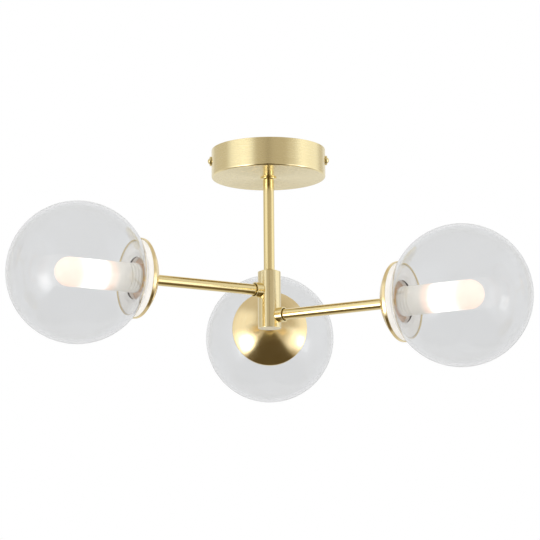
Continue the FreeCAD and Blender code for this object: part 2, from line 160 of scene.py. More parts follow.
def makePatchGroup():
    # a patch is 1 inside its width and height and fades to 0 over Soft degrees
    group, given, out = newGroup("studioPatch", (
        ("Azimuth", 0), ("Elevation", 0), ("Centre", 0), ("Width", 20), ("Middle", 0),
        ("Height", 20), ("Soft", 8)), ("Mask",))
    masks = []
    for angle, centre, half in (("Azimuth", "Centre", "Width"), ("Elevation", "Middle", "Height")):
        off = calc(group, "SUBTRACT", given.outputs[angle], given.outputs[centre])
        off = calc(group, "ABSOLUTE", calc(group, "WRAP", off, 180.0, -180.0))
        low = calc(group, "SUBTRACT", given.outputs[half], given.outputs["Soft"])
        high = calc(group, "ADD", given.outputs[half], given.outputs["Soft"])
        masks.append(remap(group, off, low, high, 1.0, 0.0, smooth=True))
    wire(group, calc(group, "MULTIPLY", *masks), out.inputs["Mask"])
    return group


def makeStudio():
    world = bpy.data.worlds.new("studio")
    bpy.context.scene.world = world
    world.use_nodes = True
    tree = world.node_tree
    tree.nodes.clear()
    direction = addNode(tree, "ShaderNodeSeparateXYZ")
    wire(tree, addNode(tree, "ShaderNodeTexCoord").outputs["Generated"], direction.inputs[0])
    x, y, z = direction.outputs
    azimuth = calc(tree, "DEGREES", calc(tree, "ARCTAN2", x, calc(tree, "MULTIPLY", y, -1.0)))
    elevation = calc(tree, "DEGREES", calc(tree, "ARCSINE", z))
    level = studio["around"]
    group = makePatchGroup()
    for patch in studio["patches"]:
        node = useGroup(tree, group, **{key: patch[key] for key in patch if key != "level"})
        wire(tree, azimuth, node.inputs["Azimuth"])
        wire(tree, elevation, node.inputs["Elevation"])
        level = remap(tree, node.outputs["Mask"], 0.0, 1.0, level, patch["level"])
    # the gap holds directions in front with |x| < slope * (top - z)
    gap = studio["gap"]
    edge = calc(tree, "MULTIPLY", calc(tree, "SUBTRACT", gap["top"], z), gap["slope"])
    inside = calc(tree, "SUBTRACT", edge, calc(tree, "ABSOLUTE", x))
    inside = remap(tree, inside, -gap["soft"], gap["soft"], 0.0, 1.0, smooth=True)
    inside = calc(tree, "MULTIPLY", inside, remap(tree, y, *gap["front"], 1.0, 0.0, smooth=True))
    level = remap(tree, inside, 0.0, 1.0, level, gap["level"])
    path = addNode(tree, "ShaderNodeLightPath")
    seen = calc(tree, "MAXIMUM", path.outputs["Is Camera Ray"], path.outputs["Is Transmission Ray"])
    unseen = calc(tree, "SUBTRACT", 1.0, seen)
    mirrored = calc(tree, "MULTIPLY", path.outputs["Is Glossy Ray"], unseen)
    mixed = remap(tree, mirrored, 0.0, 1.0, studio["plain"], level)
    mixed = remap(tree, seen, 0.0, 1.0, mixed, 1.0)
    # dim parts of the room are warmer
    tone = studio["tone"]
    warmth = addNode(tree, "ShaderNodeCombineColor")
    warmth.inputs[0].default_value = 1.0
    wire(tree, remap(tree, level, *tone["span"], tone["green"], 1.0), warmth.inputs[1])
    wire(tree, remap(tree, level, *tone["span"], tone["blue"], 1.0), warmth.inputs[2])
    colour = blendColours(tree, mirrored, (1.0, 1.0, 1.0), warmth.outputs[0])
    background = addNode(tree, "ShaderNodeBackground")
    wire(tree, colour, background.inputs["Color"])
    wire(tree, mixed, background.inputs["Strength"])
    wire(tree, background.outputs[0], addNode(tree, "ShaderNodeOutputWorld").inputs["Surface"])
    for name in ("keyLight", "fillLight"):
        lamp = studio[name]
        light = bpy.data.lights.new(name, "AREA")
        light.size = lamp["size"]
        light.energy = lamp["power"]
        holder = bpy.data.objects.new(name, light)
        holder.location = lamp["place"]
        aim = Vector(studio["aim"]) - Vector(lamp["place"])
        holder.rotation_euler = aim.to_track_quat("-Z", "Y").to_euler()
        holder.visible_glossy = holder.visible_camera = holder.visible_transmission = False
        bpy.context.scene.collection.objects.link(holder)


def makeFloor():
    # floor far below the fitting, seen only in the views from above
    look = studio["floor"]
    cells, half = look["cells"], look["size"] / 2
    line = np.linspace(-half, half, cells + 1)
    x, y = np.meshgrid(line, line)
    points = np.stack([x.ravel(), y.ravel(), np.full(x.size, look["height"])], 1)
    corner = (np.arange(cells)[:, None] * (cells + 1) + np.arange(cells)).ravel()
    faces = np.stack([corner, corner + 1, corner + cells + 2, corner + cells + 1], 1)
    mesh = bpy.data.meshes.new("studioFloor")
    mesh.from_pydata(points.tolist(), [], faces.tolist())
    floor = bpy.data.objects.new("studioFloor", mesh)
    bpy.context.scene.collection.objects.link(floor)
    floor.visible_glossy = False
    material = bpy.data.materials.new("studioFloor")
    material.use_nodes = True
    tree = material.node_tree
    shader = tree.nodes["Principled BSDF"]
    noise = addNode(tree, "ShaderNodeTexNoise")
    noise.inputs["Scale"].default_value = look["grain"]
    wire(tree, addNode(tree, "ShaderNodeTexCoord").outputs["Object"], noise.inputs["Vector"])
    rough = remap(tree, noise.outputs[0], 0, 1, *look["roughness"])
    wire(tree, rough, shader.inputs["Roughness"])
    shader.inputs["Base Color"].default_value = (*look["colour"], 1)
    shader.inputs["Specular IOR Level"].default_value = look["specular"]
    path = addNode(tree, "ShaderNodeLightPath")
    glow = addNode(tree, "ShaderNodeEmission")
    lift = calc(tree, "MULTIPLY", path.outputs["Is Camera Ray"], look["lift"])
    wire(tree, lift, glow.inputs["Strength"])
    lifted = addNode(tree, "ShaderNodeAddShader")
    wire(tree, shader.outputs[0], lifted.inputs[0])
    wire(tree, glow.outputs[0], lifted.inputs[1])
    through = addNode(tree, "ShaderNodeMixShader")
    wire(tree, addNode(tree, "ShaderNodeNewGeometry").outputs["Backfacing"], through.inputs[0])
    wire(tree, lifted.outputs[0], through.inputs[1])
    wire(tree, addNode(tree, "ShaderNodeBsdfTransparent").outputs[0], through.inputs[2])
    wire(tree, through.outputs[0], tree.nodes["Material Output"].inputs["Surface"])
    mesh.materials.append(material)


bpy.context.scene.view_settings.view_transform = "Standard"
makeStudio()
makeFloor()
print("studio lit")


grainLook = dict(layers=(1.0, 3.7), detail=3.0, roughness=0.65)
marksLook = dict(detail=4.0, soft=0.16)


def makeLatheGrain():
    # fine lines that run round a turned piece: noise stretched round the axis, read from the
    # piece's own "lathe" attribute, which holds the direction round the axis and the length along
    # the profile
    group, given, out = newGroup("latheGrain", (
        ("Lines", 1500), ("Round", 3), ("Fine", 0.6)), ("Grain",))
    read = addNode(group, "ShaderNodeAttribute", attribute_name="lathe")
    layers = []
    for factor in grainLook["layers"]:
        scale = addNode(group, "ShaderNodeCombineXYZ")
        roundness = calc(group, "MULTIPLY", given.outputs["Round"], factor)
        wire(group, roundness, scale.inputs[0])
        wire(group, roundness, scale.inputs[1])
        wire(group, calc(group, "MULTIPLY", given.outputs["Lines"], factor), scale.inputs[2])
        stretched = addNode(group, "ShaderNodeVectorMath", operation="MULTIPLY")
        wire(group, read.outputs["Vector"], stretched.inputs[0])
        wire(group, scale.outputs[0], stretched.inputs[1])
        noise = addNode(group, "ShaderNodeTexNoise")
        noise.inputs["Scale"].default_value = 1.0
        noise.inputs["Detail"].default_value = grainLook["detail"]
        noise.inputs["Roughness"].default_value = grainLook["roughness"]
        wire(group, stretched.outputs[0], noise.inputs["Vector"])
        layers.append(noise.outputs[0])
    mixed = addNode(group, "ShaderNodeMix")
    wire(group, given.outputs["Fine"], mixed.inputs[0])
    wire(group, layers[0], mixed.inputs[2])
    wire(group, layers[1], mixed.inputs[3])
    wire(group, mixed.outputs[0], out.inputs["Grain"])
    return group


def makeHandling():
    # faint patches left by wiping and handling, in object space
    group, given, out = newGroup("handlingMarks", (("Size", 0.02), ("Edge", 0.5)), ("Marks",))
    place = addNode(group, "ShaderNodeTexCoord")
    noise = addNode(group, "ShaderNodeTexNoise")
    noise.inputs["Detail"].default_value = marksLook["detail"]
    wire(group, place.outputs["Object"], noise.inputs["Vector"])
    wire(group, calc(group, "DIVIDE", 1.0, given.outputs["Size"]), noise.inputs["Scale"])
    low = calc(group, "SUBTRACT", given.outputs["Edge"], marksLook["soft"])
    high = calc(group, "ADD", given.outputs["Edge"], marksLook["soft"])
    marks = remap(group, noise.outputs[0], low, high, 0.0, 1.0, smooth=True)
    wire(group, marks, out.inputs["Marks"])
    return group


latheGrain = makeLatheGrain()
handlingMarks = makeHandling()


def newMaterial(name):
    material = bpy.data.materials.new(name)
    material.use_nodes = True
    tree = material.node_tree
    return material, tree, tree.nodes["Principled BSDF"]


metalLook = dict(marksSize=0.018, grainSpan=(0.3, 0.7), roughSpan=(0.25, 0.75), swing=0.05,
                 rimTint=0.6, rimGain=1.06, smoothest=0.04, height=0.00005)
stuffLook = dict(detail=3.0, span=(0.3, 0.7), swing=0.06, marksRough=0.05, height=0.00008)


def turnedMetal(name, colour, warm, roughness, spread, lines, roundness, grainDepth, grainTint,
                rimShine=0.08, marksDepth=0.04, fine=0.5):
    # metal of a turned piece: lines round it vary colour, roughness and height, its edges are a
    # little brighter and smoother, and wiping marks vary the roughness
    look = metalLook
    material, tree, shader = newMaterial(name)
    grain = useGroup(tree, latheGrain, Lines=lines, Round=roundness, Fine=fine).outputs["Grain"]
    marks = useGroup(tree, handlingMarks, Size=look["marksSize"]).outputs["Marks"]
    rim = addNode(tree, "ShaderNodeAttribute", attribute_name="rim").outputs["Fac"]
    tint = blendColours(tree, remap(tree, grain, *look["grainSpan"], 0.0, 1.0), warm, colour)
    tint = blendColours(tree, grainTint, colour, tint)
    bright = tuple(min(1.0, value * look["rimGain"]) for value in colour)
    tint = blendColours(tree, calc(tree, "MULTIPLY", rim, look["rimTint"]), tint, bright)
    wire(tree, tint, shader.inputs["Base Color"])
    swing = look["swing"]
    rough = remap(tree, grain, *look["roughSpan"], roughness - swing, roughness + swing)
    rough = calc(tree, "ADD", rough, calc(tree, "MULTIPLY", marks, marksDepth))
    rough = calc(tree, "SUBTRACT", rough, calc(tree, "MULTIPLY", rim, rimShine), clamp=True)
    wire(tree, calc(tree, "MAXIMUM", rough, look["smoothest"]), shader.inputs["Roughness"])
    shader.inputs["Metallic"].default_value = 1.0
    shader.inputs["Anisotropic"].default_value = spread
    if spread > 0:
        along = addNode(tree, "ShaderNodeTangent", direction_type="UV_MAP", uv_map="UVMap")
        wire(tree, along.outputs[0], shader.inputs["Tangent"])
    bump = addNode(tree, "ShaderNodeBump")
    bump.inputs["Strength"].default_value = grainDepth
    bump.inputs["Distance"].default_value = look["height"]
    wire(tree, grain, bump.inputs["Height"])
    wire(tree, bump.outputs[0], shader.inputs["Normal"])
    return material


def plainStuff(name, colour, second, roughness, size, metallic=0.0, bumpDepth=0.15, grit=0.0004):
    # moulded, cast or plated stuff: two close tones in soft patches over a fine surface texture
    look = stuffLook
    material, tree, shader = newMaterial(name)
    marks = useGroup(tree, handlingMarks, Size=size).outputs["Marks"]
    texture = addNode(tree, "ShaderNodeTexNoise")
    texture.inputs["Scale"].default_value = 1 / grit
    texture.inputs["Detail"].default_value = look["detail"]
    wire(tree, addNode(tree, "ShaderNodeTexCoord").outputs["Object"], texture.inputs["Vector"])
    wire(tree, blendColours(tree, marks, colour, second), shader.inputs["Base Color"])
    swing = look["swing"]
    rough = remap(tree, texture.outputs[0], *look["span"], roughness - swing, roughness + swing)
    rough = calc(tree, "ADD", rough, calc(tree, "MULTIPLY", marks, look["marksRough"]))
    wire(tree, rough, shader.inputs["Roughness"])
    shader.inputs["Metallic"].default_value = metallic
    bump = addNode(tree, "ShaderNodeBump")
    bump.inputs["Strength"].default_value = bumpDepth
    bump.inputs["Distance"].default_value = look["height"]
    wire(tree, texture.outputs[0], bump.inputs["Height"])
    wire(tree, bump.outputs[0], shader.inputs["Normal"])
    return material


turnedFinishes = dict(
    satinBrass=dict(colour=(0.940, 0.815, 0.490), warm=(0.860, 0.720, 0.370), roughness=0.25,
                    spread=0.60, lines=1100, roundness=2.5, grainDepth=0.20, grainTint=0.50,
                    marksDepth=0.01),
    undersideBrass=dict(colour=(0.940, 0.800, 0.500), warm=(0.870, 0.715, 0.430), roughness=0.22,
                        spread=0.40, lines=900, roundness=2.0, grainDepth=0.12, grainTint=0.30),
    polishedBrass=dict(colour=(0.960, 0.810, 0.440), warm=(0.880, 0.690, 0.300), roughness=0.12,
                       spread=0.30, lines=900, roundness=2.0, grainDepth=0.10, grainTint=0.35),
    hubBrass=dict(colour=(0.960, 0.835, 0.520), warm=(0.860, 0.720, 0.370), roughness=0.15,
                  spread=0.50, lines=1100, roundness=3.0, grainDepth=0.25, grainTint=0.45),
    spunBrass=dict(colour=(0.990, 0.835, 0.510), warm=(0.900, 0.680, 0.330), roughness=0.19,
                   spread=0.60, lines=1000, roundness=1.2, grainDepth=1.00, grainTint=0.75),
    carrierBrass=dict(colour=(0.900, 0.660, 0.460), warm=(0.780, 0.540, 0.340), roughness=0.38,
                      spread=0.30, lines=800, roundness=2.0, grainDepth=0.25, grainTint=0.50),
)
plainFinishes = dict(
    nutBrass=dict(colour=(0.78, 0.62, 0.30), second=(0.66, 0.50, 0.22), roughness=0.32, size=0.004,
                  metallic=1.0),
    zincSteel=dict(colour=(0.62, 0.63, 0.64), second=(0.50, 0.51, 0.53), roughness=0.38, size=0.006,
                   metallic=1.0),
    terminalPlastic=dict(colour=(0.78, 0.77, 0.73), second=(0.72, 0.71, 0.66), roughness=0.45,
                         size=0.008),
    leadSheath=dict(colour=(0.80, 0.79, 0.76), second=(0.72, 0.71, 0.68), roughness=0.50,
                    size=0.010),
    lampholderCeramic=dict(colour=(0.86, 0.84, 0.80), second=(0.78, 0.76, 0.71), roughness=0.55,
                           size=0.005),
    gasketRubber=dict(colour=(0.80, 0.78, 0.75), second=(0.72, 0.70, 0.67), roughness=0.60,
                      size=0.004),
    seatWhite=dict(colour=(0.90, 0.875, 0.835), second=(0.86, 0.83, 0.78), roughness=0.42,
                   size=0.012, bumpDepth=0.08),
)
finishes = {name: turnedMetal(name, **look) for name, look in turnedFinishes.items()}
finishes.update({name: plainStuff(name, **look) for name, look in plainFinishes.items()})

# The spans of the sleeve's painted glow are distances along the arm in millimetres, other sizes are
# metres.
globeLook = dict(tint=(0.845, 0.850, 0.855), second=0.985, ior=1.45, waveSize=0.040, detail=1.0,
                 distortion=0.8)
sleeveLook = dict(edge=(0.18, 0.07, 0.03), glow=(0.28, 0.155, 0.12), core=(0.44, 0.46, 0.50),
                  warmSpan=(149.5, 156.0), glowSpan=(155.0, 163.0), coreStart=(157.0, 164.0),
                  coreEnd=(177.0, 189.0), grit=2500.0, gritSpan=(0.3, 0.7), roughness=(0.40, 0.52),
                  tones=((0.94, 0.91, 0.84), (0.98, 0.95, 0.88)), through=0.25, ior=1.3,
                  bumpDepth=0.2, height=0.00005)
lampLook = dict(colour=(0.92, 0.90, 0.86), glows=((1.0, 0.90, 0.74), (1.0, 0.95, 0.84)),
                strength=0.15, roughness=(0.35, 0.45), grain=400.0)


def makeClearGlass():
    # blown glass: clear, faintly grey, with slow changes of tone
    material, tree, shader = newMaterial("clearGlass")
    place = addNode(tree, "ShaderNodeTexCoord").outputs["Object"]
    wave = addNode(tree, "ShaderNodeTexNoise")
    wave.inputs["Scale"].default_value = 1 / globeLook["waveSize"]
    wave.inputs["Detail"].default_value = globeLook["detail"]
    wave.inputs["Distortion"].default_value = globeLook["distortion"]
    wire(tree, place, wave.inputs["Vector"])
    second = tuple(value * globeLook["second"] for value in globeLook["tint"])
    tone = blendColours(tree, wave.outputs[0], globeLook["tint"], second)
    wire(tree, tone, shader.inputs["Base Color"])
    shader.inputs["Roughness"].default_value = 0.0
    shader.inputs["IOR"].default_value = globeLook["ior"]
    shader.inputs["Transmission Weight"].default_value = 1.0
    # light goes straight through to what stands inside
    path = addNode(tree, "ShaderNodeLightPath")
    unseen = calc(tree, "MAXIMUM", path.outputs["Is Shadow Ray"], path.outputs["Is Diffuse Ray"])
    clear = addNode(tree, "ShaderNodeBsdfTransparent")
    mixed = addNode(tree, "ShaderNodeMixShader")
    wire(tree, unseen, mixed.inputs[0])
    wire(tree, shader.outputs[0], mixed.inputs[1])
    wire(tree, clear.outputs[0], mixed.inputs[2])
    wire(tree, mixed.outputs[0], tree.nodes["Material Output"].inputs["Surface"])
    return material


def makeFrostedGlass():
    # etched glass with a painted glow: its emission paints the lamp's light where the lamp stands
    # behind it, dim and warm near the base and brightest over the lamp. The "reach" attribute is
    # the distance along the arm in millimetres
    look = sleeveLook
    material, tree, shader = newMaterial("frostedGlass")
    reach = addNode(tree, "ShaderNodeAttribute", attribute_name="reach").outputs["Fac"]
    # painted glow: these masks place the emission that paints the lamp's light along the sleeve
    start = remap(tree, reach, *look["warmSpan"], 0.0, 1.0, smooth=True)
    lit = remap(tree, reach, *look["glowSpan"], 0.0, 1.0, smooth=True)
    core = calc(tree, "MULTIPLY", remap(tree, reach, *look["coreStart"], 0.0, 1.0, smooth=True),
                remap(tree, reach, *look["coreEnd"], 1.0, 0.0, smooth=True))
    glow = blendColours(tree, start, (0.0, 0.0, 0.0), look["edge"])
    glow = blendColours(tree, lit, glow, look["glow"])
    wire(tree, blendColours(tree, core, glow, look["core"]), shader.inputs["Emission Color"])
    shader.inputs["Emission Strength"].default_value = 1.0
    grit = addNode(tree, "ShaderNodeTexNoise")
    grit.inputs["Scale"].default_value = look["grit"]
    wire(tree, addNode(tree, "ShaderNodeTexCoord").outputs["Object"], grit.inputs["Vector"])
    rough = remap(tree, grit.outputs[0], *look["gritSpan"], *look["roughness"])
    wire(tree, rough, shader.inputs["Roughness"])
    wire(tree, blendColours(tree, grit.outputs[0], *look["tones"]), shader.inputs["Base Color"])
    shader.inputs["Transmission Weight"].default_value = look["through"]
    shader.inputs["IOR"].default_value = look["ior"]
    bump = addNode(tree, "ShaderNodeBump")
    bump.inputs["Strength"].default_value = look["bumpDepth"]
    bump.inputs["Distance"].default_value = look["height"]
    wire(tree, grit.outputs[0], bump.inputs["Height"])
    wire(tree, bump.outputs[0], shader.inputs["Normal"])
    return material


def makeLampGlass():
    # capsule lamp with a faint warm glow
    material, tree, shader = newMaterial("lampGlass")
    noise = addNode(tree, "ShaderNodeTexNoise")
    noise.inputs["Scale"].default_value = lampLook["grain"]
    wire(tree, addNode(tree, "ShaderNodeTexCoord").outputs["Object"], noise.inputs["Vector"])
    glow = blendColours(tree, noise.outputs[0], *lampLook["glows"])
    wire(tree, glow, shader.inputs["Emission Color"])
    rough = remap(tree, noise.outputs[0], 0, 1, *lampLook["roughness"])
    wire(tree, rough, shader.inputs["Roughness"])
    shader.inputs["Base Color"].default_value = (*lampLook["colour"], 1)
    shader.inputs["Emission Strength"].default_value = lampLook["strength"]
    return material


finishes["clearGlass"] = makeClearGlass()
finishes["frostedGlass"] = makeFrostedGlass()
finishes["lampGlass"] = makeLampGlass()
print("finishes made,", len(finishes))


# An eased corner takes up to reach of its shorter side, and its outer points are hold times as far
# from the corner as the curve's ends.
easing = dict(reach=0.4, hold=1.2, steps=4)


# Profiles are rows of (distance along the axis, radius) in millimetres.
def softened(corners, radius, closed, steps=easing["steps"]):
    # Profile with eased corners. A corner p between points a and b, which lie its radius back
    # along its two sides, becomes (1-s)^2 a + 2 s (1-s) p + s^2 b. One more point beyond a and b
    # keeps the long sides flat. Points with no radius stay as they are.
    p = np.asarray(corners, float)
    r = np.broadcast_to(np.asarray(radius, float), len(p)).copy()
    if not closed:
        r[0] = r[-1] = 0
    back, ahead = np.roll(p, 1, 0) - p, np.roll(p, -1, 0) - p
    backLength = np.maximum(np.hypot(*back.T), 1e-9)
    aheadLength = np.maximum(np.hypot(*ahead.T), 1e-9)
    cut = np.minimum(r, easing["reach"] * np.minimum(backLength, aheadLength))
    a, b = p + back * (cut / backLength)[:, None], p + ahead * (cut / aheadLength)[:, None]
    holdA = p + back * (easing["hold"] * cut / backLength)[:, None]
    holdB = p + ahead * (easing["hold"] * cut / aheadLength)[:, None]
    s = np.linspace(0, 1, steps + 1)[None, :, None]
    curve = (1 - s) ** 2 * a[:, None] + 2 * s * (1 - s) * p[:, None] + s ** 2 * b[:, None]
    rows = np.concatenate([holdA[:, None], curve, holdB[:, None]], 1)
    eased = np.repeat((r > 0)[:, None], steps + 3, 1)
    keep = eased.copy()
    keep[:, 1] = True
    eased[:, 0] = eased[:, -1] = False
    return rows[keep], eased[keep].astype(float)


def arc(centre, radius, start, end, count):
    # points centre + radius * (cos t, sin t), with t from start to end in degrees
    t = np.radians(np.linspace(start, end, count))
    return np.stack([centre[0] + radius * np.cos(t), centre[1] + radius * np.sin(t)], 1)


uprightFrame = (np.zeros(3), np.array((0, 0, 1.0)), np.array((1.0, 0, 0)), np.array((0, 1.0, 0)))


def armFrame(azimuth, height):
    a = radians(azimuth)
    out, side = np.array((cos(a), sin(a), 0)), np.array((-sin(a), cos(a), 0))
    return np.array((0, 0, height)), out, side, np.array((0, 0, 1.0))


def turnedPiece(name, profile, place, columns, closed, rim=None):
    # Surface of revolution: point(row, column) = origin + along(row) * axis
    # + radius(row) * (cos t * side + sin t * up), with t = 2 pi column / columns.
    # A profile that isn't closed starts and ends on the axis, where its fans meet in one point.
    origin, axis, side, up = place
    along, radius = np.asarray(profile, float).T
    rim = np.zeros(len(along)) if rim is None else np.asarray(rim, float)
    order = slice(None)
    loopAlong, loopRadius = np.append(along, along[0]), np.append(radius, radius[0])
    if np.sum((loopRadius[1:] + loopRadius[:-1]) ** 2 * np.diff(loopAlong)) < 0:
        order = slice(None, None, -1)
    along, radius, rim = along[order], radius[order], rim[order]
    rows = len(along)
    length = np.append(0, np.cumsum(np.hypot(np.diff(along), np.diff(radius)))) * mm
    t = 2 * pi * np.arange(columns) / columns
    ring = np.cos(t)[:, None] * side + np.sin(t)[:, None] * up
    points = origin + along[:, None, None] * axis + radius[:, None, None] * ring
    lathe = np.empty((rows, columns, 3))
    lathe[..., 0], lathe[..., 1], lathe[..., 2] = np.cos(t), np.sin(t), length[:, None]
    index = np.arange(rows * columns).reshape(rows, columns)
    if not closed:
        index[0], index[-1] = index[0, 0], index[-1, 0]
    upper = np.roll(index, -1, 0) if closed else index[1:]
    lower = index if closed else index[:-1]
    quads = np.stack([lower, np.roll(lower, -1, 1), np.roll(upper, -1, 1), upper], -1)
    ends = np.append(length, length[-1] + 0.001) if closed else length
    u = np.broadcast_to(ends[:-1, None], lower.shape), np.broadcast_to(ends[1:, None], lower.shape)
    v = np.broadcast_to(np.arange(columns) / columns, lower.shape)
    uvs = np.stack([np.stack([u[0], v], -1), np.stack([u[0], v + 1 / columns], -1),
                    np.stack([u[1], v + 1 / columns], -1), np.stack([u[1], v], -1)], -2)
    quads, uvs = quads.reshape(-1, 4), uvs.reshape(-1, 4, 2)
    keepCorner = quads != np.roll(quads, -1, 1)   # a fan's face has one corner less
    loops, starts = quads[keepCorner], np.append(0, np.cumsum(keepCorner.sum(1))[:-1])
    used, loops = np.unique(loops, return_inverse=True)
    mesh = bpy.data.meshes.new(name)
    mesh.vertices.add(len(used))
    mesh.vertices.foreach_set("co", (points.reshape(-1, 3)[used] * mm).ravel())
    mesh.loops.add(len(loops))
    mesh.loops.foreach_set("vertex_index", loops.ravel().astype(np.int32))
    mesh.polygons.add(len(starts))
    mesh.polygons.foreach_set("loop_start", starts.astype(np.int32))
    mesh.uv_layers.new(name="UVMap").data.foreach_set("uv", uvs[keepCorner].ravel())
    for title, kind, field, values in (
            ("lathe", "FLOAT_VECTOR", "vector", lathe.reshape(-1, 3)[used]),
            ("rim", "FLOAT", "value", np.repeat(rim, columns)[used]),
            ("reach", "FLOAT", "value", np.repeat(along, columns)[used])):
        mesh.attributes.new(title, kind, "POINT").data.foreach_set(field, values.ravel())
    mesh.update(calc_edges=True)
    mesh.validate()
    mesh.shade_smooth()
    piece = bpy.data.objects.new(name, mesh)
    bpy.context.scene.collection.objects.link(piece)
    return piece


def dress(piece, finish, slot, body, *replaced):
    piece.data.materials.clear()
    piece.data.materials.append(finishes[finish])
    if replaced:
        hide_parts(*replaced)
    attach(piece, body)


# ceiling cup; its two screw holes are cut by rods that reach from cutStart to cutEnd
cup = dict(radius=50.0, height=25.0, wall=1.2, corner=1.5, innerCorner=0.3, holeEdge=0.1,
           ceilingEdge=0.25, ceilingInnerEdge=0.15, hole=4.1, screwHole=2.3, screwDrop=9.5,
           cutStart=45.0, cutEnd=55.0, cutColumns=32, columns=288, steps=8, sharpAngle=40)


def screwFrame(side):
    return (np.array((0, 0, -cup["screwDrop"])), np.array((side, 0, 0.0)),
            np.array((0, side, 0.0)), np.array((0, 0, 1.0)))


def makeCup():
    # walls from the rim on the ceiling down to the floor, both faces, with the rounded lower corner
    inside, floor = cup["radius"] - cup["wall"], -cup["height"] + cup["wall"]
    corners = [(-cup["height"], cup["hole"]), (-cup["height"], cup["radius"]), (0, cup["radius"]),
               (0, inside), (floor, inside), (floor, cup["hole"])]
    eased = [cup[key] for key in ("holeEdge", "corner", "ceilingEdge", "ceilingInnerEdge",
                                  "innerCorner", "holeEdge")]
    profile, rim = softened(corners, eased, True, cup["steps"])
    piece = turnedPiece("cupShell", profile, uprightFrame, cup["columns"], True, rim)
    cutters = []
    start, end, hole = cup["cutStart"], cup["cutEnd"], cup["screwHole"]
    for side in (-1, 1):
        line = np.array([(start, 0), (start, hole), (end, hole), (end, 0)])
        cutter = turnedPiece("screwHoleCutter", line, screwFrame(side), cup["cutColumns"], False)
        cutters.append(cutter)
        bore = piece.modifiers.new("screwHole", "BOOLEAN")
        bore.object = cutter
        bore.operation = "DIFFERENCE"
        bore.solver = "EXACT"
    graph = bpy.context.evaluated_depsgraph_get()
    drilled = bpy.data.meshes.new_from_object(piece.evaluated_get(graph))
    piece.modifiers.clear()
    piece.data = drilled
    drilled.set_sharp_from_angle(angle=radians(cup["sharpAngle"]))
    for cutter in cutters:
        bpy.data.objects.remove(cutter)
    dress(piece, "satinBrass", "satin_brass", "fitting", "canopy_cup")


makeCup()

# stem, trim rings and hub
stem = dict(radius=4.75, inner=3.75, thread=4.0, bore=3.2, top=-25.0, bottom=-109.0, above=9.0,
            below=4.0, seat=4.0, edge=0.15, columns=96)
ring = dict(bore=4.8, radius=7.0, thickness=1.2, cone=0.6,
            eased=(0.05, 0.35, 0.35, 0.15, 0.1), columns=96)
hub = dict(radius=10.0, top=-109.0, bottom=-159.0, bore=7.6, hole=4.02, wall=4.0, plug=9.25,
           plugRadius=9.2, plugThickness=1.5, spigot=7.55, spigotLength=4.0, spigotWall=1.0,
           eased=(0.1, 0.45, 0.45, 0.12, 0.1, 0.1, 0.2, 0.1), plugEdge=0.2, columns=128)


def threadedTube(start, end, startSpigot, endSpigot):
    # outer tube with a thinner spigot at each end, and a bore that is wider between its seats
    low, high, s = start - startSpigot, end + endSpigot, stem["seat"]
    radius, inner, thread, bore = (stem[key] for key in ("radius", "inner", "thread", "bore"))
    return [(low, bore), (low, thread), (start, thread), (start, radius), (end, radius),
            (end, thread), (high, thread), (high, bore), (end - s, bore), (end - s, inner),
            (start + s, inner), (start + s, bore)]


def makeStem():
    line = threadedTube(stem["bottom"], stem["top"], stem["below"], stem["above"])
    profile, rim = softened(line, stem["edge"], True)
    piece = turnedPiece("stemTube", profile, uprightFrame, stem["columns"], True, rim)
    dress(piece, "polishedBrass", "polished_brass", "fitting", "stem_tube")
    for name, node, seat, way in (("canopyRing", "stem_ring", stem["top"], -1),
                                  ("hubRing", "hub_ring", hub["top"], 1)):
        t = ring["thickness"]
        corners = [(0, ring["bore"]), (0, ring["radius"]), (t, ring["radius"]),
                   (t, ring["bore"] + ring["cone"]), (t + ring["cone"], ring["bore"])]
        profile, rim = softened(corners, ring["eased"], True)
        profile[:, 0] = seat + way * profile[:, 0]
        piece = turnedPiece(name, profile, uprightFrame, ring["columns"], True, rim)
        dress(piece, "polishedBrass", "polished_brass", "fitting", node)


def makeHub():
    low, high = hub["bottom"], hub["top"]
    step, roof = low + hub["plugThickness"], high - hub["wall"]
    corners = [(high, hub["hole"]), (high, hub["radius"]), (low, hub["radius"]), (low, hub["plug"]),
               (step, hub["plug"]), (step, hub["bore"]), (roof, hub["bore"]), (roof, hub["hole"])]
    profile, rim = softened(corners, hub["eased"], True)
    body = turnedPiece("hubBody", profile, uprightFrame, hub["columns"], True, rim)
    dress(body, "hubBrass", "satin_brass", "fitting", "hub_body")
    top, inner = step + hub["spigotLength"], hub["spigot"] - hub["spigotWall"]
    corners = [(low, 0), (low, hub["plugRadius"]), (step, hub["plugRadius"]), (step, hub["spigot"]),
               (top, hub["spigot"]), (top, inner), (step, inner), (step, 0)]
    profile, rim = softened(corners, hub["plugEdge"], False)
    plug = turnedPiece("hubPlug", profile, uprightFrame, hub["columns"], False, rim)
    dress(plug, "undersideBrass", "satin_brass", "fitting", "hub_plug")


makeStem()
makeHub()
print("cup, stem and hub made")

# side screws
sideScrew = dict(face=50.05, shank=2.0, start=42.05, flange=4.2, thickness=1.6, dome=2.75, rise=1.7,
                 eased=(0, 0.3, 0.1, 0.25, 0.4), domeRows=14, columns=72)


